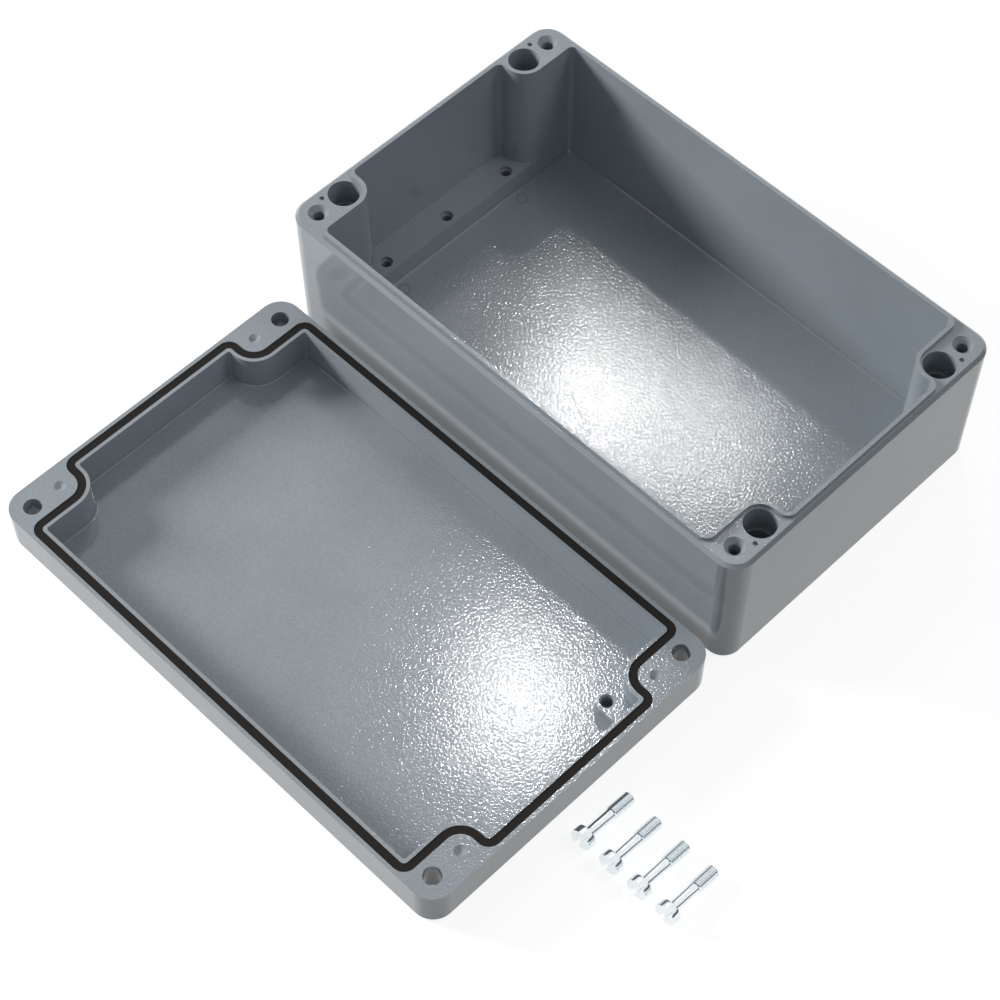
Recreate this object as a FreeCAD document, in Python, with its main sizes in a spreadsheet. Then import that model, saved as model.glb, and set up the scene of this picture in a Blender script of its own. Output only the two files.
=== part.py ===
import FreeCAD, Part
import math
import os
import Sketcher

# Die cast aluminium box, shown taken apart: the open base, the lid lying on its face beside it
# with the seal in its groove, and the four lid screws lying loose. Millimetres, +X along the
# length, +Y across the width and away from the lid, +Z up. The origin is the centre of the
# base's underside, and everything lies on the plane z = 0.

SIZES = {
    # The two castings
    "box_length": 260.0,
    "box_width": 160.0,
    "corner_radius": 10.0,
    "draft_angle": 1.0,
    "well_draft_angle": 1.5,
    "base_height": 70.0,
    "base_floor": 3.5,
    "base_foot_chamfer": 0.6,
    "base_root_radius": 1.4,
    "rim_bevel": 1.6,
    "lid_height": 20.0,
    "lid_plate": 3.0,
    "lid_face_radius": 2.0,
    "lid_root_radius": 1.0,
    "lid_gap": 6.7,
    # The line that the seal follows along the rim and round the four corner bosses
    "seal_inset": 3.6,
    "seal_turn_radius": 3.8,
    "boss_radius": 9.1,
    "tongue_width": 1.8,
    "tongue_height": 1.7,
    "tongue_clearance": 0.95,
    "groove_depth": 4.0,
    "groove_lip": 1.6,
    "lid_turn_radius": 1.2,
    "gasket_clearance": 0.05,
    "gasket_drop": 0.3,
    # Corner holes, placed from the nearest outer side
    "screw_hole_inset": 10.0,
    "wall_hole_inset": 25.0,
    "wall_hole_diameter": 7.0,
    "wall_seat_height": 8.0,
    "wall_head_diameter": 12.4,
    "wall_access_diameter": 14.1,
    "wall_access_depth": 14.0,
    "thread_mouth_diameter": 9.0,
    "thread_mouth_depth": 2.5,
    "thread_depth": 20.0,
    "dot_inset_end": 5.2,
    "dot_inset_side": 16.5,
    "dot_diameter": 2.2,
    "dot_depth": 1.2,
    # Mounting rails cast across the two ends of the base
    "rail_height": 13.4,
    "rail_hole_inset": 15.6,
    "rail_hole_pitch": 37.9,
    "rail_hole_diameter": 4.2,
    "rail_hole_depth": 8.5,
    "rail_mouth_diameter": 6.0,
    "rail_mouth_depth": 1.9,
    # Lid details
    "lid_seat_depth": 9.0,
    "lid_bore_diameter": 8.0,
    "dimple_diameter": 5.2,
    "dimple_depth": 1.3,
    "pad_height": 8.0,
    "pad_radius": 4.8,
    "pad_lean": 0.5,
    "pad_spread": 7.0,
    "earth_hole_inset": 19.1,
    "earth_hole_side": 43.4,
    "earth_hole_diameter": 5.0,
    "earth_hole_depth": 8.0,
    "earth_mouth_diameter": 6.4,
    "earth_mouth_depth": 1.1,
    # Lid screws: cheese head, waisted shank and a short thread
    "screw_length": 25.0,
    "screw_thread_diameter": 6.0,
    "screw_thread_pitch": 1.0,
    "screw_thread_length": 12.0,
    "screw_tip_chamfer": 0.7,
    "screw_shank_diameter": 4.6,
    "screw_head_diameter": 10.0,
    "screw_head_height": 3.9,
    "screw_slot_width": 1.6,
    "screw_slot_depth": 1.9,
    "screw_slot_turn": 20.0,
    "screw_head_clearance": 1.4,
    "screw_spacing": 15.05,
    "screw_row_gap": 14.7,
    "screw_row_setback": 71.6,
}
SCREW_COUNT = 4

doc = FreeCAD.newDocument("DieCastBox")
sheet = doc.addObject("Spreadsheet::Sheet", "Sizes")
for row, (alias, value) in enumerate(SIZES.items(), start=1):
    sheet.set("A%d" % row, alias)
    sheet.set("B%d" % row, str(value))
    sheet.setAlias("B%d" % row, alias)
doc.recompute()

# Formulas that several pieces share, in the sheet's names
HALF_LENGTH = "Sizes.box_length / 2"
HALF_WIDTH = "Sizes.box_width / 2"
SLOPE = "tan(Sizes.draft_angle * 1 deg)"
CORNER_X = "(Sizes.box_length / 2 - Sizes.screw_hole_inset)"
SCREW_Y = "(Sizes.box_width / 2 - Sizes.screw_hole_inset)"
BOSS_Y = "(Sizes.box_width / 2 - Sizes.wall_hole_inset)"
TONGUE_TOP = "(Sizes.base_height + Sizes.tongue_height)"
TONGUE_HALF = "Sizes.tongue_width / 2"
GROOVE_HALF = "(Sizes.tongue_width / 2 + Sizes.tongue_clearance)"
GASKET_HALF = "(" + GROOVE_HALF + " - Sizes.gasket_clearance)"
LID_WALL = "(" + GROOVE_HALF + " + Sizes.groove_lip)"
THREAD_BORE = "(Sizes.screw_thread_diameter - Sizes.screw_thread_pitch)"


def size(alias):
    """The plain number of one cell of the sheet."""
    return float(sheet.get(alias))


def new_body(name):
    """One sub-part, whose label is also the name of its file."""
    body = doc.addObject("PartDesign::Body", name)
    body.Label = name
    return body


def origin_plane(body, role):
    return [part for part in body.Origin.OriginFeatures if part.Role == role][0]


def new_sketch(body, name, height, role="XY_Plane"):
    """A sketch on one of the body's own planes, raised by a formula along that plane's normal."""
    sketch = body.newObject("Sketcher::SketchObject", name)
    sketch.AttachmentSupport = (origin_plane(body, role), [""])
    sketch.MapMode = "FlatFace"
    sketch.setExpression("AttachmentOffset.Base.z", height)
    return sketch


def measure(sketch, name, formula, kind, *places):
    """A named measure of a sketch: as drawn at first, then held to a formula of the sheet."""
    if kind in ("Radius", "Diameter"):
        drawn = sketch.Geometry[places[0]].Radius * (2 if kind == "Diameter" else 1)
    else:
        reach = sketch.getPoint(*places[2:]) - sketch.getPoint(*places[:2])
        drawn = reach.x if kind == "DistanceX" else reach.y
    index = sketch.addConstraint(Sketcher.Constraint(kind, *places, drawn))
    sketch.renameConstraint(index, name)
    sketch.setExpression("Constraints." + name, formula)


def on_circle(x, y, radius, degrees):
    angle = math.radians(degrees)
    return FreeCAD.Vector(x + radius * math.cos(angle), y + radius * math.sin(angle), 0)


def closed_outline(sketch, arcs):
    """Joins quarter arcs, in order round the outline, by straight lines tangent to them.

    Each arc is its centre, radius, first angle and whether the outline bulges outward there.
    The lines are level and upright by turns, beginning with a level one.
    """
    curved, straight = [], []
    for x, y, radius, first, outward in arcs:
        circle = Part.Circle(FreeCAD.Vector(x, y, 0), FreeCAD.Vector(0, 0, 1), radius)
        start = math.radians(first)
        curved.append(sketch.addGeometry(Part.ArcOfCircle(circle, start, start + math.pi / 2)))
    followers = arcs[1:] + arcs[:1]
    for (x1, y1, r1, first1, out1), (x2, y2, r2, first2, out2) in zip(arcs, followers):
        leave = on_circle(x1, y1, r1, first1 + (90 if out1 else 0))
        arrive = on_circle(x2, y2, r2, first2 + (0 if out2 else 90))
        straight.append(sketch.addGeometry(Part.LineSegment(leave, arrive)))
    for place, run in enumerate(straight):
        following = (place + 1) % len(arcs)
        leave_end = 2 if arcs[place][4] else 1
        arrive_end = 1 if arcs[following][4] else 2
        level = "Vertical" if place % 2 else "Horizontal"
        sketch.addConstraint([
            Sketcher.Constraint("Tangent", curved[place], leave_end, run, 1),
            Sketcher.Constraint("Tangent", run, 2, curved[following], arrive_end),
            Sketcher.Constraint(level, run)])
    return curved, straight


def same_size(sketch, curves):
    for curve in curves[1:]:
        sketch.addConstraint(Sketcher.Constraint("Equal", curves[0], curve))


def hold_sides(sketch, label, sides, half_x, half_y):
    """Sets the right, top, left and bottom lines at their distances from the middle."""
    right, top, left, bottom = sides
    measure(sketch, label + "_right", half_x, "DistanceX", -1, 1, right, 1)
    measure(sketch, label + "_top", half_y, "DistanceY", -1, 1, top, 1)
    measure(sketch, label + "_left", half_x, "DistanceX", left, 1, -1, 1)
    measure(sketch, label + "_bottom", half_y, "DistanceY", bottom, 1, -1, 1)


def rounded_rectangle(body, name, height, half_x, half_y, radius):
    """A rectangle about the middle with rounded corners, its measures given as formulas."""
    sketch = new_sketch(body, name, height)
    bend = size("corner_radius")
    mid_x = size("box_length") / 2 - bend
    mid_y = size("box_width") / 2 - bend
    arcs = [(mid_x, mid_y, bend, 0, True), (-mid_x, mid_y, bend, 90, True),
            (-mid_x, -mid_y, bend, 180, True), (mid_x, -mid_y, bend, 270, True)]
    curved, (top, left, bottom, right) = closed_outline(sketch, arcs)
    same_size(sketch, curved)
    measure(sketch, "corner", radius, "Radius", curved[0])
    hold_sides(sketch, "side", (right, top, left, bottom), half_x, half_y)
    return sketch


def seal_outline(sketch, label, reach, turn=None):
    """One closed line beside the seal's centre line, which goes round the four bosses.

    It is drawn on the centre line, and its measures then move it inwards by the formula reach.
    """
    bend, boss = size("seal_turn_radius"), size("boss_radius")
    boss_x = size("box_length") / 2 - size("screw_hole_inset")
    boss_y = size("box_width") / 2 - size("wall_hole_inset")
    end_x = size("box_length") / 2 - size("seal_inset") - bend
    side_y = size("box_width") / 2 - size("seal_inset") - bend
    arcs = []
    for quarter, (way_x, way_y) in enumerate(((1, 1), (-1, 1), (-1, -1), (1, -1))):
        first = 90 * quarter
        at_end = (way_x * end_x, way_y * (boss_y - boss - bend), bend, first, True)
        at_boss = (way_x * boss_x, way_y * boss_y, boss, first + 180, False)
        at_side = (way_x * (boss_x - boss - bend), way_y * side_y, bend, first, True)
        corner = [at_end, at_boss, at_side]
        arcs += corner if quarter % 2 == 0 else corner[::-1]
    curved, straight = closed_outline(sketch, arcs)
    bosses = curved[1::3]
    turns = [curve for curve in curved if curve not in bosses]
    same_size(sketch, bosses)
    same_size(sketch, turns)
    if turn is None:
        turn = "Sizes.seal_turn_radius - " + reach
    measure(sketch, label + "_turn", turn, "Radius", turns[0])
    measure(sketch, label + "_boss", "Sizes.boss_radius + " + reach, "Radius", bosses[0])
    measure(sketch, label + "_boss_x", CORNER_X, "DistanceX", -1, 1, bosses[0], 3)
    measure(sketch, label + "_boss_y", BOSS_Y, "DistanceY", -1, 1, bosses[0], 3)
    level_axis, upright_axis = -1, -2
    for one, other, mirror in ((0, 1, upright_axis), (0, 3, level_axis), (1, 2, level_axis)):
        sketch.addConstraint(Sketcher.Constraint(
            "Symmetric", bosses[one], 3, bosses[other], 3, mirror))
    right, top, left, bottom = straight[11], straight[2], straight[5], straight[8]
    hold_sides(sketch, label, (right, top, left, bottom),
               HALF_LENGTH + " - Sizes.seal_inset - " + reach,
               HALF_WIDTH + " - Sizes.seal_inset - " + reach)


def seal_sketch(body, name, height, *outlines):
    """A sketch at one height with one or two lines beside the seal's centre line."""
    sketch = new_sketch(body, name, height)
    for number, (reach, turn) in enumerate(outlines):
        seal_outline(sketch, "line%d" % number, reach, turn)
    return sketch


def corner_circles(body, name, height, x, y, diameter, with_middle=False):
    """Four equal circles at plus and minus x and y, and a pair between them if wanted."""
    sketch = new_sketch(body, name, height)
    start_x = size("box_length") / 2 - size("screw_hole_inset")
    start_y = size("box_width") / 2 - size("wall_hole_inset")
    places = [(start_x, start_y), (-start_x, start_y), (-start_x, -start_y), (start_x, -start_y)]
    if with_middle:
        places += [(start_x, 0), (-start_x, 0)]
    upward = FreeCAD.Vector(0, 0, 1)
    circles = [sketch.addGeometry(Part.Circle(FreeCAD.Vector(place_x, place_y, 0), upward, 3))
               for place_x, place_y in places]
    same_size(sketch, circles)
    level_axis, upright_axis = -1, -2
    for one, other, mirror in ((0, 1, upright_axis), (0, 3, level_axis), (1, 2, level_axis)):
        sketch.addConstraint(Sketcher.Constraint(
            "Symmetric", circles[one], 3, circles[other], 3, mirror))
    for middle, corner in zip(circles[4:], circles):
        sketch.addConstraint([Sketcher.Constraint("PointOnObject", middle, 3, level_axis),
                              Sketcher.Constraint("Vertical", middle, 3, corner, 3)])
    measure(sketch, "diameter", diameter, "Diameter", circles[0])
    measure(sketch, "across", x, "DistanceX", -1, 1, circles[0], 3)
    measure(sketch, "along", y, "DistanceY", -1, 1, circles[0], 3)
    return sketch


def one_circle(body, name, height, x, y, diameter):
    sketch = new_sketch(body, name, height)
    start = FreeCAD.Vector(size("corner_radius"), size("corner_radius"), 0)
    circle = sketch.addGeometry(Part.Circle(start, FreeCAD.Vector(0, 0, 1), 3))
    measure(sketch, "diameter", diameter, "Diameter", circle)
    measure(sketch, "across", x, "DistanceX", -1, 1, circle, 3)
    measure(sketch, "along", y, "DistanceY", -1, 1, circle, 3)
    return sketch


def pad(body, name, sketch, length):
    feature = body.newObject("PartDesign::Pad", name)
    feature.Profile = sketch
    feature.setExpression("Length", length)
    return feature


def pocket(body, name, sketch, depth, from_below=False):
    feature = body.newObject("PartDesign::Pocket", name)
    feature.Profile = sketch
    feature.Reversed = from_below
    feature.setExpression("Length", depth)
    return feature


def drilled(body, name, sketch, diameter, depth=None, **cut):
    """Holes at the sketch's circles, through the piece where no depth is given."""
    feature = body.newObject("PartDesign::Hole", name)
    feature.Profile = sketch
    doc.recompute()
    feature.ThreadType = "None"
    feature.setExpression("Diameter", diameter)
    feature.DepthType = "Dimension" if depth else "ThroughAll"
    if depth:
        feature.DrillPoint = "Flat"
        feature.setExpression("Depth", depth)
    if cut:
        feature.HoleCutType = cut.pop("HoleCutType")
    for name_of_size, formula in cut.items():
        feature.setExpression(name_of_size, formula)
    return feature


def cone_angle(mouth, bore, depth):
    """The full angle of a countersink from its mouth, bore and depth."""
    return "2 * atan((%s - %s) / 2 / %s)" % (mouth, bore, depth)


def near(one, other):
    return abs(one - other) < 0.01


def edges_at(body, height):
    """The level edges of the body so far at one height."""
    doc.recompute()
    return ["Edge%d" % number for number, edge in enumerate(body.Tip.Shape.Edges, start=1)
            if near(edge.BoundBox.ZMin, height) and near(edge.BoundBox.ZMax, height)]


def dress(body, kind, name, formula, edges):
    """A Fillet or a Chamfer of one size on some edges of the body so far."""
    solid = body.Tip
    feature = body.newObject("PartDesign::" + kind, name)
    feature.Base = (solid, edges)
    feature.setExpression("Radius" if kind == "Fillet" else "Size", formula)
    return feature


def draft_walls(body, name, low, high, level, angle):
    """Leans the walls that stand from low to high, which then keep their size at one level."""
    doc.recompute()
    solid = body.Tip
    walls = ["Face%d" % number for number, face in enumerate(solid.Shape.Faces, start=1)
             if near(face.BoundBox.ZMin, low) and near(face.BoundBox.ZMax, high)]
    plane = body.newObject("PartDesign::Plane", name + "_level")
    plane.AttachmentSupport = (origin_plane(body, "XY_Plane"), [""])
    plane.MapMode = "FlatFace"
    plane.setExpression("AttachmentOffset.Base.z", level)
    feature = body.newObject("PartDesign::Draft", name)
    feature.Base = (solid, walls)
    feature.NeutralPlane = (plane, [""])
    feature.setExpression("Angle", angle)
    return feature


def make_base():
    """The open box: drafted walls, four corner bosses, a sealing tongue and two end rails."""
    body = new_body("base")
    rim_height, floor_height = size("base_height"), size("base_floor")
    rail_height, tongue_top = size("rail_height"), size("base_height") + size("tongue_height")
    outline = rounded_rectangle(body, "outline", "0", HALF_LENGTH, HALF_WIDTH,
                                "Sizes.corner_radius")
    pad(body, "block", outline, "Sizes.base_height")
    outer = draft_walls(body, "outer_draft", 0, rim_height, "Sizes.base_height", "Sizes.draft_angle")
    outer.Reversed = True
    dress(body, "Chamfer", "foot_edge", "Sizes.base_foot_chamfer", edges_at(body, 0))
    dress(body, "Chamfer", "bevel", "Sizes.rim_bevel", edges_at(body, rim_height))

    tongue = seal_sketch(body, "tongue_line", "Sizes.base_height", ("(-" + TONGUE_HALF + ")", None))
    pad(body, "tongue", tongue, "Sizes.tongue_height")
    mouth = seal_sketch(body, "mouth_line", TONGUE_TOP, ("(" + TONGUE_HALF + ")", None))
    pocket(body, "cavity", mouth, TONGUE_TOP + " - Sizes.rail_height")
    draft_walls(body, "inner_draft", rail_height, tongue_top, TONGUE_TOP, "Sizes.draft_angle")

    # The well between the two rails goes on down in line with the cavity and the bosses
    reach = "(" + TONGUE_HALF + " + (" + TONGUE_TOP + " - Sizes.rail_height) * " + SLOPE + ")"
    well = rounded_rectangle(body, "well_line", "Sizes.rail_height",
                             CORNER_X + " - Sizes.boss_radius - " + reach,
                             HALF_WIDTH + " - Sizes.seal_inset - " + reach,
                             "Sizes.seal_turn_radius - " + reach)
    pocket(body, "well", well, "Sizes.rail_height - Sizes.base_floor")
    draft_walls(body, "well_draft", floor_height, rail_height, "Sizes.rail_height",
                "Sizes.well_draft_angle")
    dress(body, "Fillet", "floor_edge", "Sizes.base_root_radius", edges_at(body, floor_height))

    screw_places = corner_circles(body, "screw_places", "Sizes.base_height", CORNER_X, SCREW_Y,
                                  THREAD_BORE)
    drilled(body, "screw_threads", screw_places, THREAD_BORE, "Sizes.thread_depth",
            HoleCutType="Countersink", HoleCutDiameter="Sizes.thread_mouth_diameter",
            HoleCutCountersinkAngle=cone_angle("Sizes.thread_mouth_diameter", THREAD_BORE,
                                               "Sizes.thread_mouth_depth"))
    wall_places = corner_circles(body, "wall_places", "Sizes.base_height", CORNER_X, BOSS_Y,
                                 "Sizes.wall_hole_diameter")
    drilled(body, "wall_holes", wall_places, "Sizes.wall_hole_diameter",
            HoleCutType="Counterbore", HoleCutDiameter="Sizes.wall_head_diameter",
            HoleCutDepth="Sizes.base_height - Sizes.wall_seat_height")
    access_places = corner_circles(body, "access_places", "Sizes.base_height", CORNER_X, BOSS_Y,
                                   "Sizes.wall_access_diameter")
    pocket(body, "wall_access", access_places, "Sizes.wall_access_depth")
    dot_places = corner_circles(body, "dot_places", "Sizes.base_height",
                                HALF_LENGTH + " - Sizes.dot_inset_end",
                                HALF_WIDTH + " - Sizes.dot_inset_side", "Sizes.dot_diameter")
    pocket(body, "dots", dot_places, "Sizes.dot_depth")

    rail_places = corner_circles(body, "rail_places", "Sizes.rail_height",
                                 HALF_LENGTH + " - Sizes.rail_hole_inset", "Sizes.rail_hole_pitch",
                                 "Sizes.rail_hole_diameter", with_middle=True)
    drilled(body, "rail_threads", rail_places, "Sizes.rail_hole_diameter", "Sizes.rail_hole_depth",
            HoleCutType="Counterbore", HoleCutDiameter="Sizes.rail_mouth_diameter",
            HoleCutDepth="Sizes.rail_mouth_depth")
    return body


def make_earth_pad(body):
    """The pad for the earth screw: round at its free end, its foot spreading along the wall."""

    def outline(name, height, lean, spread):
        sketch = new_sketch(body, name, height)
        x = size("box_length") / 2 - size("earth_hole_inset")
        y = size("box_width") / 2 - size("earth_hole_side")
        radius = size("pad_radius")
        wall_x = size("box_length") / 2 - size("seal_inset")
        back_y = size("box_width") / 2 - size("wall_hole_inset")
        circle = Part.Circle(FreeCAD.Vector(x, y, 0), FreeCAD.Vector(0, 0, 1), radius)
        nose = sketch.addGeometry(Part.ArcOfCircle(circle, math.pi, 1.5 * math.pi))
        side = sketch.addGeometry(Part.LineSegment(on_circle(x, y, radius, 270),
                                                   FreeCAD.Vector(wall_x, y - radius, 0)))
        end = sketch.addGeometry(Part.LineSegment(FreeCAD.Vector(wall_x, y - radius, 0),
                                                  FreeCAD.Vector(wall_x, back_y, 0)))
        back = sketch.addGeometry(Part.LineSegment(FreeCAD.Vector(wall_x, back_y, 0),
                                                   FreeCAD.Vector(x - radius, back_y, 0)))
        front = sketch.addGeometry(Part.LineSegment(FreeCAD.Vector(x - radius, back_y, 0),
                                                    on_circle(x, y, radius, 180)))
        sketch.addConstraint([Sketcher.Constraint("Tangent", front, 2, nose, 1),
                              Sketcher.Constraint("Tangent", nose, 2, side, 1),
                              Sketcher.Constraint("Coincident", side, 2, end, 1),
                              Sketcher.Constraint("Coincident", end, 2, back, 1),
                              Sketcher.Constraint("Coincident", back, 2, front, 1),
                              Sketcher.Constraint("Vertical", end),
                              Sketcher.Constraint("Horizontal", back),
                              Sketcher.Constraint("Vertical", front)])
        hole_y = HALF_WIDTH + " - Sizes.earth_hole_side"
        measure(sketch, "nose", "Sizes.pad_radius + " + lean, "Radius", nose)
        measure(sketch, "nose_x", HALF_LENGTH + " - Sizes.earth_hole_inset",
                "DistanceX", -1, 1, nose, 3)
        measure(sketch, "nose_y", hole_y, "DistanceY", -1, 1, nose, 3)
        measure(sketch, "wall", HALF_LENGTH + " - Sizes.seal_inset", "DistanceX", -1, 1, end, 1)
        measure(sketch, "foot", hole_y + " - Sizes.pad_radius - " + lean + " - " + spread,
                "DistanceY", -1, 1, end, 1)
        measure(sketch, "back", BOSS_Y, "DistanceY", -1, 1, back, 1)
        return sketch

    low = outline("pad_foot", "Sizes.lid_plate", "Sizes.pad_lean", "Sizes.pad_spread")
    high = outline("pad_top", "Sizes.lid_plate + Sizes.pad_height", "0", "0")
    feature = body.newObject("PartDesign::AdditiveLoft", "earth_pad")
    feature.Profile = low
    feature.Sections = [high]
    feature.Ruled = True


def make_lid():
    """The lid, its face down: a drafted tray with the seal's groove round its rim."""
    body = new_body("lid")
    height, plate = size("lid_height"), size("lid_plate")
    outline = rounded_rectangle(body, "face_line", "0", HALF_LENGTH, HALF_WIDTH,
                                "Sizes.corner_radius")
    pad(body, "slab", outline, "Sizes.lid_height")
    outer = draft_walls(body, "side_draft", 0, height, "Sizes.lid_height", "Sizes.draft_angle")
    outer.Reversed = True
    dress(body, "Fillet", "face_edge", "Sizes.lid_face_radius", edges_at(body, 0))
    mouth = seal_sketch(body, "tray_line", "Sizes.lid_height", (LID_WALL, "Sizes.lid_turn_radius"))
    pocket(body, "tray", mouth, "Sizes.lid_height - Sizes.lid_plate")
    draft_walls(body, "tray_draft", plate, height, "Sizes.lid_height", "Sizes.draft_angle")
    dress(body, "Fillet", "tray_edge", "Sizes.lid_root_radius", edges_at(body, plate))
    make_earth_pad(body)
    groove = seal_sketch(body, "groove_lines", "Sizes.lid_height", ("(-" + GROOVE_HALF + ")", None),
                         (GROOVE_HALF, None))
    pocket(body, "groove", groove, "Sizes.groove_depth")

    lid_places = corner_circles(body, "lid_places", "Sizes.lid_height", CORNER_X, SCREW_Y,
                                "Sizes.lid_bore_diameter")
    drilled(body, "lid_holes", lid_places, "Sizes.lid_bore_diameter")
    seat_places = corner_circles(body, "seat_places", "0", CORNER_X, SCREW_Y,
                                 "Sizes.screw_head_diameter + Sizes.screw_head_clearance")
    pocket(body, "head_seats", seat_places, "Sizes.lid_seat_depth", from_below=True)
    dimple_places = corner_circles(body, "dimple_places", "Sizes.lid_height", CORNER_X, BOSS_Y,
                                   "Sizes.dimple_diameter")
    dimples = pocket(body, "dimples", dimple_places, "Sizes.dimple_depth")
    dimples.setExpression("TaperAngle", "-atan(0.45 * Sizes.dimple_diameter / Sizes.dimple_depth)")
    earth_place = one_circle(body, "earth_place", "Sizes.lid_plate + Sizes.pad_height",
                             HALF_LENGTH + " - Sizes.earth_hole_inset",
                             HALF_WIDTH + " - Sizes.earth_hole_side", "Sizes.earth_hole_diameter")
    drilled(body, "earth_thread", earth_place, "Sizes.earth_hole_diameter",
            "Sizes.earth_hole_depth", HoleCutType="Countersink",
            HoleCutDiameter="Sizes.earth_mouth_diameter",
            HoleCutCountersinkAngle=cone_angle("Sizes.earth_mouth_diameter",
                                               "Sizes.earth_hole_diameter",
                                               "Sizes.earth_mouth_depth"))
    body.setExpression("Placement.Base.y", "-Sizes.box_width - Sizes.lid_gap")
    return body


def make_gasket():
    """The soft seal that fills the lid's groove, its top a little below the rim."""
    body = new_body("lid_gasket")
    reach = GASKET_HALF
    lines = seal_sketch(body, "gasket_lines", "Sizes.lid_height - Sizes.groove_depth",
                        ("(-" + reach + ")", None), (reach, None))
    pad(body, "seal", lines, "Sizes.groove_depth - Sizes.gasket_drop")
    body.setExpression("Placement.Base.y", "-Sizes.box_width - Sizes.lid_gap")
    return body


def make_screw(number):
    """One lid screw, lying on the rim of its head and the end of its thread."""
    body = new_body("lid_screw_%d" % number)
    profile = new_sketch(body, "profile_%d" % number, "0", "XZ_Plane")
    head, shank = size("screw_head_diameter") / 2, size("screw_shank_diameter") / 2
    thread, length = size("screw_thread_diameter") / 2, size("screw_length")
    neck, tip = length - size("screw_thread_length"), size("screw_tip_chamfer")
    corners = [(0, -size("screw_head_height")), (head, -size("screw_head_height")), (head, 0),
               (shank, 0), (shank, neck), (thread, neck), (thread, length - tip),
               (thread - tip, length), (0, length)]
    runs = range(len(corners))
    for start, stop in zip(corners, corners[1:] + corners[:1]):
        profile.addGeometry(Part.LineSegment(FreeCAD.Vector(start[0], start[1], 0),
                                             FreeCAD.Vector(stop[0], stop[1], 0)))
    for run in runs:
        following = (run + 1) % len(runs)
        profile.addConstraint(Sketcher.Constraint("Coincident", run, 2, following, 1))
    face, side, bearing, waist, step, crest, chamfer, end, axis = runs
    for run in (face, bearing, step, end):
        profile.addConstraint(Sketcher.Constraint("Horizontal", run))
    for run in (side, waist, crest):
        profile.addConstraint(Sketcher.Constraint("Vertical", run))
    profile.addConstraint(Sketcher.Constraint("PointOnObject", axis, 1, -2))
    profile.addConstraint(Sketcher.Constraint("PointOnObject", axis, 2, -2))
    radius_of = {
        "head": ("Sizes.screw_head_diameter / 2", side, 1),
        "waist": ("Sizes.screw_shank_diameter / 2", waist, 1),
        "crest": ("Sizes.screw_thread_diameter / 2", crest, 1),
        "point": ("Sizes.screw_thread_diameter / 2 - Sizes.screw_tip_chamfer", end, 1)}
    for name, (formula, run, place) in radius_of.items():
        measure(profile, name, formula, "DistanceX", -1, 1, run, place)
    measure(profile, "head_height", "Sizes.screw_head_height", "DistanceY", face, 1, -1, 1)
    profile.addConstraint(Sketcher.Constraint("PointOnObject", bearing, 1, -1))
    measure(profile, "neck", "Sizes.screw_length - Sizes.screw_thread_length",
            "DistanceY", -1, 1, crest, 1)
    measure(profile, "crest_end", "Sizes.screw_length - Sizes.screw_tip_chamfer",
            "DistanceY", -1, 1, crest, 2)
    measure(profile, "tip_end", "Sizes.screw_length", "DistanceY", -1, 1, end, 1)
    turned = body.newObject("PartDesign::Revolution", "turned_%d" % number)
    turned.Profile = profile
    turned.ReferenceAxis = (profile, ["V_Axis"])
    turned.Angle = 360
    slot = new_sketch(body, "slot_%d" % number, "-Sizes.screw_head_height")
    half_slot = size("screw_slot_width") / 2
    low, high = FreeCAD.Vector(-half_slot, -head, 0), FreeCAD.Vector(half_slot, head, 0)
    corner_points = [low, FreeCAD.Vector(high.x, low.y, 0), high, FreeCAD.Vector(low.x, high.y, 0)]
    for start, stop in zip(corner_points, corner_points[1:] + corner_points[:1]):
        slot.addGeometry(Part.LineSegment(start, stop))
    for run in range(4):
        slot.addConstraint(Sketcher.Constraint("Coincident", run, 2, (run + 1) % 4, 1))
        slot.addConstraint(Sketcher.Constraint("Vertical" if run % 2 else "Horizontal", run))
    half_width, half_length = "Sizes.screw_slot_width / 2", "Sizes.screw_head_diameter / 2"
    hold_sides(slot, "slot", (1, 2, 3, 0), half_width, half_length)
    pocket(body, "driver_slot_%d" % number, slot, "Sizes.screw_slot_depth", from_below=True)

    rest = length - tip
    tilt = math.degrees(math.atan2(head - thread, rest))
    lie_down = FreeCAD.Rotation(FreeCAD.Vector(1, 0, 0), -90 - tilt)
    roll = FreeCAD.Rotation(FreeCAD.Vector(0, 0, 1), size("screw_slot_turn"))
    across = size("box_length") / 2 + size("screw_row_gap") + (number - 1) * size("screw_spacing")
    level = head * math.cos(math.radians(tilt))
    tip_y = -size("box_width") / 2 - size("screw_row_setback")
    along = tip_y - length * math.cos(math.radians(tilt))
    body.Placement = FreeCAD.Placement(FreeCAD.Vector(across, along, level), lie_down * roll)
    return body


def check(body):
    """Stops at a failed feature, a bad solid, or a cut that takes nothing away."""
    solid = body.Shape
    if solid.isNull() or not solid.isValid() or len(solid.Solids) != 1:
        raise RuntimeError(body.Label + " is not one sound solid")
    cuts = ("PartDesign::Pocket", "PartDesign::Hole", "PartDesign::Chamfer")
    before = None
    for feature in body.Group:
        if not feature.isDerivedFrom("PartDesign::Feature"):
            continue
        volume = feature.Shape.Volume
        if feature.TypeId in cuts and volume >= before:
            raise RuntimeError(feature.Label + " cuts nothing")
        before = volume


bodies = [make_base(), make_lid(), make_gasket()]
for place in range(SCREW_COUNT):
    bodies.append(make_screw(place + 1))
doc.recompute()
for thing in doc.Objects:
    if "Invalid" in thing.State or "Error" in thing.State:
        raise RuntimeError(thing.Label + " failed")
for body in bodies:
    check(body)
os.makedirs("parts", exist_ok=True)
for body in bodies:
    body.Shape.exportStep("parts/" + body.Label + ".step")
    print("%-14s %10.1f mm3" % (body.Label, body.Shape.Volume))
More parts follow.
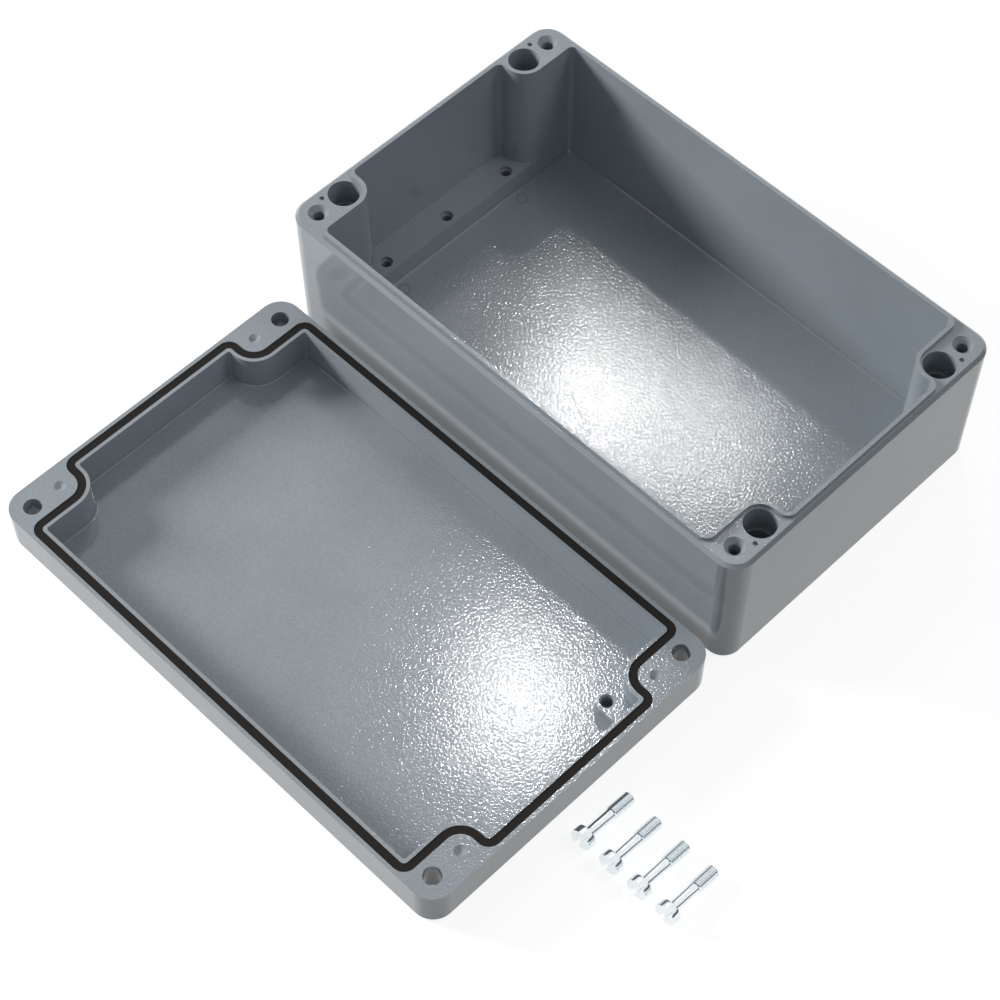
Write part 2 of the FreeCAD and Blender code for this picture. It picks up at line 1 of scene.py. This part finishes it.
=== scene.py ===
"""A die cast aluminium box taken apart: base, upturned lid with its seal, and four lid screws."""
import math
import bmesh
import bpy
from mathutils import Matrix, Vector


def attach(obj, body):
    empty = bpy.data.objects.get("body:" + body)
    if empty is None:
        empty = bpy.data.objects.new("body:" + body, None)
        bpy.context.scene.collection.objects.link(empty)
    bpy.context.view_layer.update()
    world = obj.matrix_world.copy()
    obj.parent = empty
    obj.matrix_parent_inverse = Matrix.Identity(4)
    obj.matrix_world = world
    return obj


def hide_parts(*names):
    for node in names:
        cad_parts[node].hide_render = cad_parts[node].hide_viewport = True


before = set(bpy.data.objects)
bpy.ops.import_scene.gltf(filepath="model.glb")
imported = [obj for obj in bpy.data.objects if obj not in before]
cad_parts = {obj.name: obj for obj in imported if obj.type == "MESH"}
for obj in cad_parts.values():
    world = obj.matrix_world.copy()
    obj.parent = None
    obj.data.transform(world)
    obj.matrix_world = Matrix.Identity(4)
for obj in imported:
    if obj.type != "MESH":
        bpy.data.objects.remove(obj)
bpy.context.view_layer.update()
collection = bpy.context.scene.collection

# ---- Camera ----
# The box is seen from above its near corner, with the lid on the left and the base on the right.
# The lens, the place and the tilt were solved from the outlines in the photograph.
focal_length, film_width = 94.93, 36.0
camera_place = (0.45095, -0.53106, 0.93807)
degrees_down, degrees_round = 56.17, 45
camera_data = bpy.data.cameras.new("camera")
camera_data.lens = focal_length
camera_data.sensor_width = film_width
camera = bpy.data.objects.new("camera", camera_data)
camera.location = camera_place
camera.rotation_euler = (math.radians(90 - degrees_down), 0, math.radians(degrees_round))
collection.objects.link(camera)
bpy.context.scene.camera = camera
bpy.context.scene.view_settings.view_transform = "Standard"

# ---- Studio ----
# A pale floor in a white room. Three small lamps hang high behind the box and only put gloss on
# its floors. Softboxes at its left, behind it and behind on the right give the even light.
aim = Vector((0.0, -0.08, 0.0))
# Each lamp's name, way and distance from the aim, side in metres and power in watts.
lamps = (("lamp_over_base", (-0.389, 0.455, 0.801), 2.6, 0.08, 2.6),
         ("lamp_over_lid", (-0.316, 0.333, 0.888), 2.6, 0.08, 2.9),
         ("lamp_over_corner", (-0.327, 0.480, 0.813), 2.6, 0.08, 1.4),
         ("softbox_behind", (-0.470, 0.550, 0.690), 2.6, 0.4, 6.4),
         ("softbox_left", (-0.826, -0.421, 0.375), 2.2, 0.6, 51.0),
         ("softbox_back_right", (0.435, 0.435, 0.788), 2.2, 0.8, 8.0))
for name, way, distance, side, power in lamps:
    lamp = bpy.data.lights.new(name, "AREA")
    lamp.shape = "SQUARE"
    lamp.size = side
    lamp.energy = power
    holder = bpy.data.objects.new(name, lamp)
    lamp_place = aim + distance * Vector(way).normalized()
    holder.location = lamp_place
    holder.rotation_euler = (aim - lamp_place).to_track_quat("-Z", "Y").to_euler()
    holder.visible_glossy = name.startswith("lamp")
    holder.visible_diffuse = name.startswith("softbox")
    collection.objects.link(holder)


def feed(tree, socket, given):
    """Gives a socket a value of its own, or what another node puts out."""
    if isinstance(given, bpy.types.NodeSocket):
        tree.links.new(given, socket)
    else:
        socket.default_value = given


def calculate(tree, operation, *terms):
    """One step of arithmetic on numbers and outputs."""
    node = tree.nodes.new("ShaderNodeMath")
    node.operation = operation
    for socket, term in zip(node.inputs, terms):
        feed(tree, socket, term)
    return node.outputs["Value"]


def split(tree, vector):
    """The X, Y and Z of a vector."""
    node = tree.nodes.new("ShaderNodeSeparateXYZ")
    tree.links.new(vector, node.inputs["Vector"])
    return node.outputs


def colour_ramp(tree, value, low, first, high, second):
    """Runs from the first colour to the second as a value rises from low to high."""
    node = tree.nodes.new("ShaderNodeValToRGB")
    stops = zip(node.color_ramp.elements, (low, high), (first, second))
    for element, position, colour in stops:
        element.position = position
        element.color = [*colour, 1]
    tree.links.new(value, node.inputs["Fac"])
    return node.outputs["Color"]


def mix_light(tree, factor, first, second):
    """The first light, or the second where the factor is 1."""
    node = tree.nodes.new("ShaderNodeMixShader")
    for socket, given in zip(node.inputs, (factor, first, second)):
        tree.links.new(given, socket)
    return node.outputs["Shader"]


world = bpy.data.worlds.new("surround")
bpy.context.scene.world = world
world.use_nodes = True
sky = world.node_tree
surround = sky.nodes["Background"]
surround.inputs["Color"].default_value = (0.96, 0.98, 1.0, 1)
surround.inputs["Strength"].default_value = 0.24
white = sky.nodes.new("ShaderNodeBackground")
white.inputs["Color"].default_value = (1, 1, 1, 1)
white.inputs["Strength"].default_value = 1.0

# In gloss the room is dark near the floor and white overhead.
dark_up_to, white_from = 0.3, 0.5
heading = sky.nodes.new("ShaderNodeTexCoord").outputs["Generated"]
room_tone = colour_ramp(sky, split(sky, heading)["Z"], dark_up_to, (0.12, 0.13, 0.14),
                        white_from, (1, 1, 1))
mirrored = sky.nodes.new("ShaderNodeBackground")
sky.links.new(room_tone, mirrored.inputs["Color"])
ray = sky.nodes.new("ShaderNodeLightPath").outputs
glossy_or_through = calculate(sky, "MAXIMUM", ray["Is Glossy Ray"], ray["Is Transmission Ray"])
unseen = mix_light(sky, glossy_or_through, surround.outputs["Background"],
                   mirrored.outputs["Background"])
room = mix_light(sky, ray["Is Camera Ray"], unseen, white.outputs["Background"])
sky.links.new(room, sky.nodes["World Output"].inputs["Surface"])


def new_material(name):
    """A material, with the node tree and the main shader that its looks are built on."""
    made = bpy.data.materials.new(name)
    made.use_nodes = True
    return made, made.node_tree, made.node_tree.nodes["Principled BSDF"]


floor_reach, floor_drop, floor_glow = 6, 0.0005, 0.84
floor_mesh = bpy.data.meshes.new("floor")
floor_corners = [(floor_reach * across, floor_reach * along, 0)
                 for across, along in ((-1, -1), (1, -1), (1, 1), (-1, 1))]
floor_mesh.from_pydata(floor_corners, [], [(0, 1, 2, 3)])
floor = bpy.data.objects.new("floor", floor_mesh)
floor.location.z = -floor_drop
collection.objects.link(floor)
paper, tree, shader = new_material("white_paper")
shader.inputs["Base Color"].default_value = (0.3, 0.3, 0.3, 1)
shader.inputs["Roughness"].default_value = 0.9
floor_ray = tree.nodes.new("ShaderNodeLightPath").outputs
looked_at = calculate(tree, "MAXIMUM", floor_ray["Is Camera Ray"],
                      floor_ray["Is Glossy Ray"])
looked_at = calculate(tree, "MAXIMUM", looked_at, floor_ray["Is Transmission Ray"])
glow = tree.nodes.new("ShaderNodeEmission")
tree.links.new(calculate(tree, "MULTIPLY", looked_at, floor_glow), glow.inputs["Strength"])
glowing_paper = tree.nodes.new("ShaderNodeAddShader")
tree.links.new(shader.outputs["BSDF"], glowing_paper.inputs[0])
tree.links.new(glow.outputs["Emission"], glowing_paper.inputs[1])
tree.links.new(glowing_paper.outputs["Shader"], tree.nodes["Material Output"].inputs["Surface"])
floor_mesh.materials.append(paper)

# ---- Base ----
# The open box is one aluminium die casting under a thin coat of light grey powder paint.
# The paint is smooth and glossy on the walls; level faces keep the mould's cast grain, and the
# floor shows fine rings where four ejector pins pushed.
coat_grey = (0.30, 0.335, 0.365)
coat_ior = 1.55
level_normal = 0.9
wall_roughness, level_roughness = 0.13, 0.105
grain_scale, grain_strength, grain_depth = 900, 0.44, 0.0001
skin_strength, skin_depth = 0.1, 0.00005
# The ejector pin rings are sunk in the relief, and their colour is darkened as painted shade.
ring_radius, ring_half_width, ring_depth, ring_painted_shade = 0.0026, 0.0003, 0.0001, 0.25
cloud_scale, darkest_cloud, lightest_cloud = 22, 0.94, 1.05
# Painted shade in the grain's hollows and painted light on its crests, on level faces.
grain_hollow_painted_shade, grain_crest_painted_light = 0.96, 1.06
# Painted shade: leaning faces low down, the fillets at the roots of the walls, are darkened by
# this tone.
root_normals, root_height, painted_root_shade = (0.1, 0.97), 0.01, 0.75
smooth_below_degrees, straight_normal, flat_normal = 24, 0.002, 0.9999


def noise(tree, place, scale, detail):
    """A soft random pattern, fixed to the object."""
    node = tree.nodes.new("ShaderNodeTexNoise")
    node.inputs["Scale"].default_value = scale
    node.inputs["Detail"].default_value = detail
    tree.links.new(place, node.inputs["Vector"])
    return node.outputs["Fac"]


def rescale(tree, value, low, high, start=0, end=1):
    """Turns a value's run from start to end into one from low to high."""
    node = tree.nodes.new("ShaderNodeMapRange")
    for socket, given in (("Value", value), ("From Min", start), ("From Max", end),
                          ("To Min", low), ("To Max", high)):
        feed(tree, node.inputs[socket], given)
    return node.outputs["Result"]


def relief(tree, height, strength, depth, under=None, sunk=False):
    """Raises or sinks a pattern in the surface, over the relief that is under it."""
    node = tree.nodes.new("ShaderNodeBump")
    node.invert = sunk
    node.inputs["Distance"].default_value = depth
    feed(tree, node.inputs["Strength"], strength)
    tree.links.new(height, node.inputs["Height"])
    if under is not None:
        tree.links.new(under, node.inputs["Normal"])
    return node.outputs["Normal"]


def darken(tree, factor, colour, tone):
    """Multiplies a colour by a tone, where the factor is 1."""
    node = tree.nodes.new("ShaderNodeMix")
    node.data_type = "RGBA"
    node.blend_type = "MULTIPLY"
    for socket, given in (("Factor", factor), ("A", colour), ("B", tone)):
        feed(tree, node.inputs[socket], given)
    return node.outputs["Result"]


def vector_step(tree, operation, first, second=None):
    """One step of arithmetic on vectors."""
    node = tree.nodes.new("ShaderNodeVectorMath")
    node.operation = operation
    tree.links.new(first, node.inputs[0])
    if second is not None:
        node.inputs[1].default_value = second
    return node.outputs


def powder_coat(name, pin_place, pin_in_each_quarter):
    """The grey paint, with its grain and its ejector pin rings. Painted shade darkens the grain's
    hollows, the rings and the roots of the walls; painted light brightens the grain's crests.
    """
    made, tree, shader = new_material(name)
    shader.inputs["IOR"].default_value = coat_ior
    place = tree.nodes.new("ShaderNodeTexCoord").outputs["Object"]
    upward = split(tree, tree.nodes.new("ShaderNodeNewGeometry").outputs["Normal"])["Z"]
    level = calculate(tree, "GREATER_THAN", upward, level_normal)
    tree.links.new(rescale(tree, level, wall_roughness, level_roughness),
                   shader.inputs["Roughness"])

    spot = vector_step(tree, "ABSOLUTE", place)["Vector"] if pin_in_each_quarter else place
    spot = vector_step(tree, "MULTIPLY", spot, (1, 1, 0))["Vector"]
    from_pin = vector_step(tree, "DISTANCE", spot, pin_place)["Value"]
    ring = calculate(tree, "COMPARE", from_pin, ring_radius, ring_half_width)

    cells = noise(tree, place, grain_scale, 1)
    grain = relief(tree, cells, calculate(tree, "MULTIPLY", level, grain_strength), grain_depth)
    pin_mark = relief(tree, ring, level, ring_depth, under=grain, sunk=True)
    skin = relief(tree, noise(tree, place, grain_scale, 2), skin_strength, skin_depth,
                  under=pin_mark)
    tree.links.new(skin, shader.inputs["Normal"])

    clouds = colour_ramp(tree, noise(tree, place, cloud_scale, 4),
                         0.3, [darkest_cloud * part for part in coat_grey],
                         0.7, [lightest_cloud * part for part in coat_grey])
    # The grain's cells are painted darker in their hollows and lighter on their crests: painted
    # shade and painted light.
    painted_grain_shading = rescale(tree, cells, grain_hollow_painted_shade, grain_crest_painted_light, 0.35, 0.65)
    # Painted shade darkens each ring's groove.
    ring_shade = calculate(tree, "MULTIPLY", ring, ring_painted_shade)
    toned = darken(tree, level, clouds, calculate(tree, "SUBTRACT", painted_grain_shading, ring_shade))
    # Painted shade in the roots of the walls: leaning faces near the floor are darkened.
    lowest, highest = root_normals
    leaning = calculate(tree, "MULTIPLY", calculate(tree, "GREATER_THAN", upward, lowest),
                        calculate(tree, "LESS_THAN", upward, highest))
    low_down = calculate(tree, "LESS_THAN", split(tree, place)["Z"], root_height)
    root_shade_mask = calculate(tree, "MULTIPLY", leaning, low_down)
    tree.links.new(darken(tree, root_shade_mask, toned, (painted_root_shade, painted_root_shade, painted_root_shade, 1)),
                   shader.inputs["Base Color"])
    return made


def clean_shading():
    """Drops the imported normals. Faces that turn a corner shade smooth; straight runs, with
    their fillets and bevels, shade flat."""
    tree = bpy.data.node_groups.new("clean_shading", "GeometryNodeTree")
    for way in ("INPUT", "OUTPUT"):
        tree.interface.new_socket("Geometry", in_out=way, socket_type="NodeSocketGeometry")
    bare = tree.nodes.new("GeometryNodeRemoveAttribute")
    bare.inputs["Name"].default_value = "custom_normal"
    slight = tree.nodes.new("FunctionNodeCompare")
    slight.operation = "LESS_THAN"
    slight.inputs["B"].default_value = math.radians(smooth_below_degrees)
    bend = tree.nodes.new("GeometryNodeInputMeshEdgeAngle").outputs["Unsigned Angle"]
    tree.links.new(bend, slight.inputs["A"])
    edges = tree.nodes.new("GeometryNodeSetShadeSmooth")
    edges.domain = "EDGE"
    tree.links.new(slight.outputs["Result"], edges.inputs["Shade Smooth"])
    facing = split(tree, tree.nodes.new("GeometryNodeInputNormal").outputs["Normal"])
    turns_x, turns_y, leans = [
        calculate(tree, operation, calculate(tree, "ABSOLUTE", facing[axis]), limit)
        for axis, operation, limit in (("X", "GREATER_THAN", straight_normal),
                                       ("Y", "GREATER_THAN", straight_normal),
                                       ("Z", "LESS_THAN", flat_normal))]
    curved = calculate(tree, "MULTIPLY", calculate(tree, "MULTIPLY", turns_x, turns_y), leans)
    faces = tree.nodes.new("GeometryNodeSetShadeSmooth")
    tree.links.new(curved, faces.inputs["Shade Smooth"])
    steps = (tree.nodes.new("NodeGroupInput"), bare, edges, faces,
             tree.nodes.new("NodeGroupOutput"))
    for before, after in zip(steps, steps[1:]):
        tree.links.new(before.outputs["Geometry"], after.inputs["Geometry"])
    return tree


shading = clean_shading()


def repaint(node_name, made):
    """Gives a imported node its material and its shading. No point of it is moved."""
    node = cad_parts[node_name]
    node.data.materials.clear()
    node.data.materials.append(made)
    node.modifiers.new("clean_shading", "NODES").node_group = shading


repaint("base", powder_coat("base_powder_coat", (0.1033, 0.0377, 0), pin_in_each_quarter=True))

# ---- Lid ----
# The lid is the same kind of casting, painted alike, and lies on its outer face.
# One ring of an ejector pin shows on its floor, near the end beside the screws.
repaint("lid", powder_coat("lid_powder_coat", (0.110, -0.1437, 0), pin_in_each_quarter=False))

# ---- Lid seal ----
# A black foamed rubber cord, pressed into the lid's groove.
# Its skin is dull and finely pitted.
rubber, tree, shader = new_material("seal_rubber")
shader.inputs["Roughness"].default_value = 0.8
shader.inputs["Specular IOR Level"].default_value = 0.2
pore_scale, pore_strength, pore_depth = 2500, 0.4, 0.0001
pores = noise(tree, tree.nodes.new("ShaderNodeTexCoord").outputs["Object"], pore_scale, 2)
tree.links.new(colour_ramp(tree, pores, 0, (0.016, 0.0145, 0.0135), 1, (0.03, 0.028, 0.026)),
               shader.inputs["Base Color"])
tree.links.new(relief(tree, pores, pore_strength, pore_depth), shader.inputs["Normal"])
repaint("lid_gasket", rubber)

# ---- Lid screws ----
# Four captive cheese-head screws of zinc plated steel: turned heads with a sawn slot, a waisted
# shank that lets them hang in the lid, and a short rolled thread with a chamfered end.
head_radius, head_height = 0.005, 0.0039
waist_radius, core_radius, crest_radius = 0.0023, 0.0024, 0.003
neck, screw_end, thread_pitch = 0.013, 0.025, 0.001
chamfer = crest_radius - waist_radius
slot_width, slot_depth, saw_length = 0.0016, 0.0019, 0.012
head_bevel, head_edges_from = 0.00016, 0.0027
bevel_over_degrees, sharp_over_degrees, slot_degrees = 40, 35, 20
weld, just_under = 0.000002, 0.00001
steps_round, steps_a_pitch = 48, 8
thread_form = (0.0, 0.2, 0.5, 0.8, 1.0, 0.8, 0.5, 0.2)
# The radius and height of each turned ring, from the head's face to the thread's start.
turned = ((head_radius, -head_height), (head_radius, -0.0028), (head_radius, -0.0014),
          (head_radius, 0.0), (waist_radius + 0.0003, 0.0), (waist_radius + 0.0001, 0.0001),
          (waist_radius, 0.0004), (waist_radius, 0.004), (waist_radius, 0.0085),
          (waist_radius, neck))


def thread_radius(row, height):
    """The rolled thread swells out of the waist and fades into the chamfer at its end."""
    rise = min(1.0, max(0.0, (height - neck) / thread_pitch))
    radius = waist_radius + rise * (core_radius - waist_radius)
    radius += rise * (crest_radius - core_radius) * thread_form[row % steps_a_pitch]
    return min(radius, waist_radius + max(0.0, screw_end - height))


def turned_screw():
    """One screw about its own axis: rings for the head and waist, then a helix for the thread."""
    made = bmesh.new()
    angles = [2 * math.pi * step / steps_round for step in range(steps_round)]

    def point(radius, angle, height):
        return made.verts.new((radius * math.cos(angle), radius * math.sin(angle), height))

    rings = [[point(radius, angle, height) for angle in angles] for radius, height in turned]
    made.faces.new(rings[0][::-1])
    for low, high in zip(rings, rings[1:]):
        for step in range(steps_round):
            after = (step + 1) % steps_round
            made.faces.new((low[step], low[after], high[after], high[step]))
    rows = int((screw_end - neck) / thread_pitch + 2) * steps_a_pitch
    helix = []
    for row in range(rows + 1):
        line = []
        for step, angle in enumerate(angles):
            turns = (row + steps_a_pitch * step / steps_round) / steps_a_pitch - 1
            height = min(max(neck + thread_pitch * turns, neck), screw_end)
            line.append(point(thread_radius(row, height), angle, height))
        helix.append(line)
    # A full turn ends where the row of the next pitch begins.
    for row in range(rows - steps_a_pitch):
        for step in range(steps_round):
            after = (step + 1) % steps_round
            next_row = row if after else row + steps_a_pitch
            made.faces.new((helix[row][step], helix[next_row][after],
                            helix[next_row + 1][after], helix[row + 1][step]))
    bmesh.ops.remove_doubles(made, verts=made.verts, dist=weld)
    bmesh.ops.holes_fill(made, edges=[edge for edge in made.edges if edge.is_boundary], sides=0)
    bmesh.ops.recalc_face_normals(made, faces=made.faces)
    return made


def into_mesh(name, made):
    """Turns the working mesh into a lasting one."""
    mesh = bpy.data.meshes.new(name)
    made.to_mesh(mesh)
    made.free()
    return mesh


def show(name, mesh):
    """Puts a mesh in the scene as an object of its own."""
    thing = bpy.data.objects.new(name, mesh)
    collection.objects.link(thing)
    return thing


blank = show("screw_blank", into_mesh("screw_blank", turned_screw()))
saw = bmesh.new()
bmesh.ops.create_cube(saw, size=1.0, matrix=Matrix.Translation((0, 0, -head_height))
                      @ Matrix.Diagonal((slot_width, saw_length, 2 * slot_depth, 1)))
saw_blade = show("saw_blade", into_mesh("saw_blade", saw))
sawn = blank.modifiers.new("slot", "BOOLEAN")
sawn.operation = "DIFFERENCE"
sawn.object = saw_blade
slotted = bmesh.new()
slotted.from_object(blank, bpy.context.evaluated_depsgraph_get())
for helper in (blank, saw_blade):
    bpy.data.objects.remove(helper)
bmesh.ops.remove_doubles(slotted, verts=slotted.verts, dist=weld)
head_edges = [edge for edge in slotted.edges
              if max(vert.co.z for vert in edge.verts) < just_under
              and max(vert.co.xy.length for vert in edge.verts) > head_edges_from
              and edge.calc_face_angle(0) > math.radians(bevel_over_degrees)]
bmesh.ops.bevel(slotted, geom=head_edges, offset=head_bevel, segments=2, profile=0.5,
                affect="EDGES", clamp_overlap=True)
for face in slotted.faces:
    face.smooth = True
screw_mesh = into_mesh("lid_screw", slotted)
screw_mesh.set_sharp_from_angle(angle=math.radians(sharp_over_degrees))

steel, tree, shader = new_material("zinc_plated_steel")
shader.inputs["Metallic"].default_value = 1.0
turning_scale, turning_strength, turning_depth = 1800, 0.3, 0.00002
turning = noise(tree, tree.nodes.new("ShaderNodeTexCoord").outputs["Object"], turning_scale, 3)
tree.links.new(colour_ramp(tree, turning, 0.35, (0.74, 0.79, 0.82), 0.65, (0.88, 0.92, 0.94)),
               shader.inputs["Base Color"])
tree.links.new(rescale(tree, turning, 0.04, 0.12), shader.inputs["Roughness"])
tree.links.new(relief(tree, turning, turning_strength, turning_depth), shader.inputs["Normal"])
screw_mesh.materials.append(steel)

# Each screw rests on the rim of its head and on the thread's end, with its slot a little turned.
first_screw_x, screw_spacing, head_faces_y = 0.1447, 0.01505, -0.1516
lean = math.atan2(head_radius - crest_radius, screw_end - chamfer)
laid_down = Matrix.Rotation(math.radians(-90) - lean, 4, "X")
slot_turned = Matrix.Rotation(math.radians(slot_degrees), 4, "Z")
for number in (1, 2, 3, 4):
    mesh = screw_mesh.copy()
    seat = Vector((first_screw_x + screw_spacing * (number - 1),
                   head_faces_y - screw_end * math.cos(lean), head_radius * math.cos(lean)))
    mesh.transform(Matrix.Translation(seat) @ laid_down @ slot_turned)
    screw = show("turned_lid_screw_%d" % number, mesh)
    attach(screw, "root")
    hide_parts("lid_screw_%d" % number)
